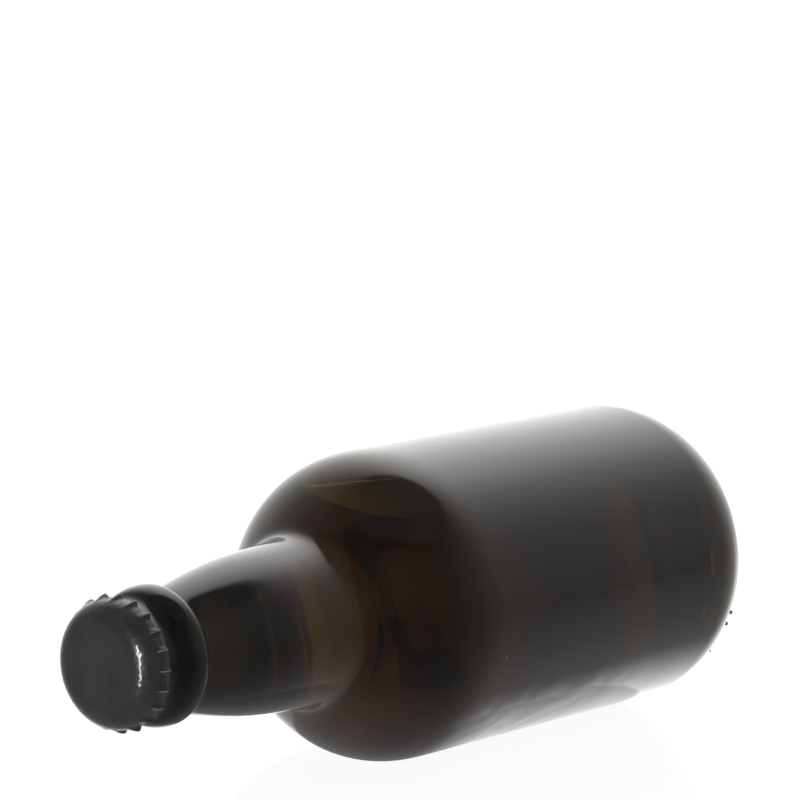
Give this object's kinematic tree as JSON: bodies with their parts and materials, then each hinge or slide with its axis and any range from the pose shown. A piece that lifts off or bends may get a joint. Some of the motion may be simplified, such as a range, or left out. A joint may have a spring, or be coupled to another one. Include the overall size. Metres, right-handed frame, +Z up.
{
  "type": "beer bottle",
  "caption": "Squat brown glass beer bottle with a bulged neck and a fluted black crown cap, full, shut and lying on its side.",
  "frame": {"origin": "on the surface the bottle lies on, under the middle of its length", "axes": "+Z up, +X along the bottle from its cap to its base, +Y across it"},
  "size_m": [0.1814, 0.0676, 0.0674],
  "materials": {
    "brown_glass": "dark brown container glass, smooth and glossy",
    "beer": "clear amber drink",
    "black_lacquer": "satin black lacquer on pressed steel, lightly rubbed"
  },
  "bodies": {
    "root": {"glass_bottle": "brown_glass", "beer": "beer", "crown_cap": "black_lacquer"}
  },
  "joints": []
}
